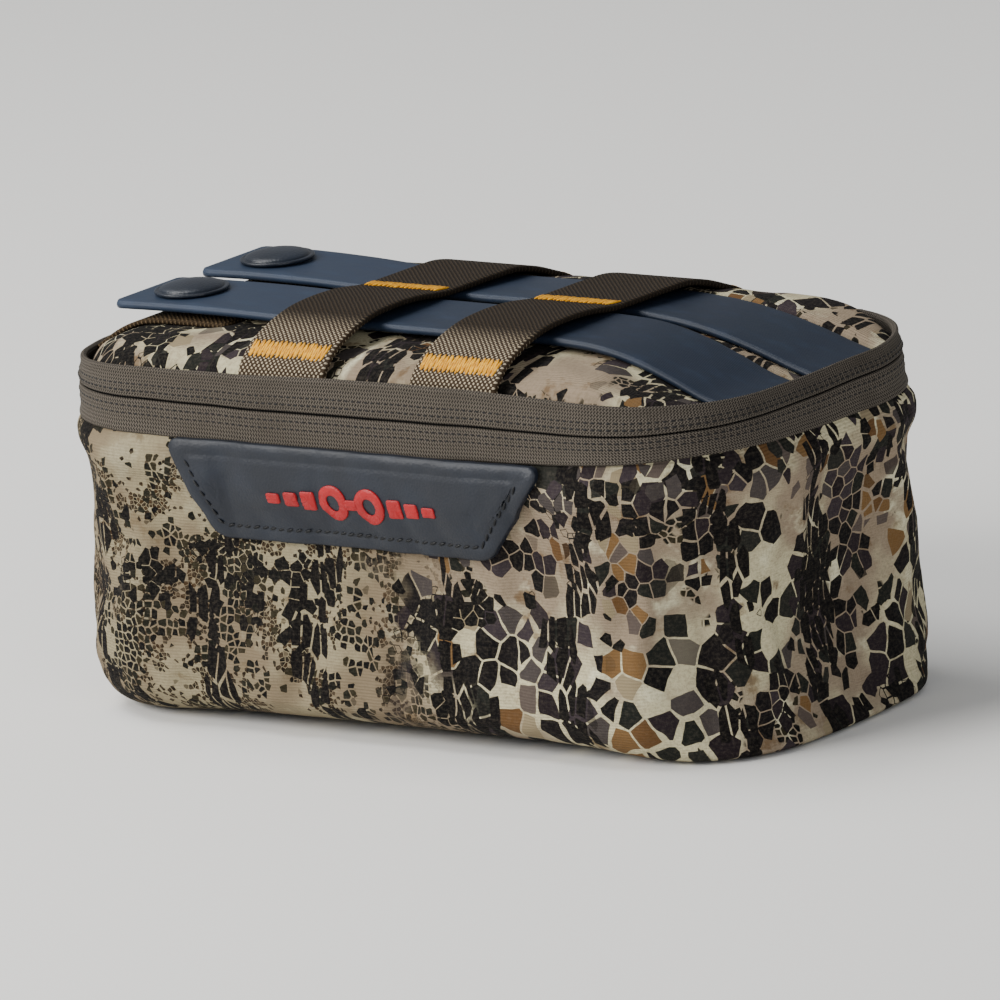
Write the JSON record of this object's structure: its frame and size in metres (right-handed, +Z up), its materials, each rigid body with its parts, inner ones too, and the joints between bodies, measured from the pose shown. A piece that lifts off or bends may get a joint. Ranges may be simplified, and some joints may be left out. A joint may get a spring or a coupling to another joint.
{
  "type": "binocular harness pack",
  "caption": "Padded zipped accessory pouch for a binocular harness, with webbing loops and snap-ended straps on its hinged lid.",
  "frame": {"origin": "centre of the bottom panel's underside", "axes": "+Z up, +X along the length towards the sewn ends of the straps, -Y towards the front with the patch, +Y towards the hinged rear"},
  "size_m": [0.2025, 0.1098, 0.098],
  "materials": {
    "camo_fabric": "knitted outer fabric with a printed cell pattern",
    "padding": "closed-cell foam padding",
    "lining": "smooth woven lining",
    "zip_tape": "woven twill zip tape",
    "zip_coil": "nylon coil",
    "zip_metal": "dark painted die-cast metal",
    "pull_rubber": "matte moulded rubber",
    "patch_coated": "rubber-coated fabric, satin",
    "patch_print": "printed film",
    "webbing": "plain-woven nylon webbing",
    "tack_thread": "satin-stitched polyester thread",
    "strap_coated": "rubber-coated webbing with a fine rib",
    "snap_cap": "satin moulded cap",
    "snap_metal": "nickel-plated snap"
  },
  "bodies": {
    "pouch": {"wall_fabric": "camo_fabric", "wall_foam": "padding", "wall_lining": "lining", "bottom_fabric": "camo_fabric", "bottom_foam": "padding", "floor_lining": "lining", "lower_zip_tape": "zip_tape", "lower_zip_coil": "zip_coil", "zip_end_stops": "zip_metal", "rear_hinge_lower": "zip_tape", "front_patch": "patch_coated", "patch_emblem": "patch_print"},
    "slider": {"slider_body": "zip_metal", "slider_bail": "zip_metal"},
    "pull": {"pull_link": "zip_metal", "pull_grip": "pull_rubber"},
    "lid": {"lid_fabric": "camo_fabric", "lid_foam": "padding", "lid_lining": "lining", "upper_zip_tape": "zip_tape", "upper_zip_coil": "zip_coil", "rear_hinge_upper": "zip_tape", "left_webbing": "webbing", "left_webbing_tacks": "tack_thread", "right_webbing": "webbing", "right_webbing_tacks": "tack_thread", "near_strap": "strap_coated", "far_strap": "strap_coated", "near_snap_tab": "webbing", "near_snap_stud": "snap_metal", "far_snap_tab": "webbing", "far_snap_stud": "snap_metal"},
    "near_strap_end": {"near_strap_tail": "strap_coated", "near_snap_cap": "snap_cap", "near_snap_socket": "snap_metal"},
    "far_strap_end": {"far_strap_tail": "strap_coated", "far_snap_cap": "snap_cap", "far_snap_socket": "snap_metal"}
  },
  "joints": [
    {"name": "lid_hinge", "type": "hinge", "parent": "pouch", "child": "lid", "pos_m": [0, 0.0524, 0.0785], "axis": [-1, 0, 0], "range_deg": [0, 110]},
    {"name": "zip_slide", "type": "slide", "parent": "pouch", "child": "slider", "axis": [0, -1, 0], "range_m": [0, 0.038]},
    {"name": "pull_swing", "type": "hinge", "parent": "slider", "child": "pull", "pos_m": [-0.10105, 0.019, 0.0785], "axis": [0, 1, 0], "range_deg": [0, 165]},
    {"name": "near_strap_lift", "type": "hinge", "parent": "lid", "child": "near_strap_end", "pos_m": [-0.036, -0.016, 0.0949], "axis": [0, 1, 0], "range_deg": [0, 75]},
    {"name": "far_strap_lift", "type": "hinge", "parent": "lid", "child": "far_strap_end", "pos_m": [-0.036, 0.016, 0.0949], "axis": [0, 1, 0], "range_deg": [0, 75]}
  ]
}
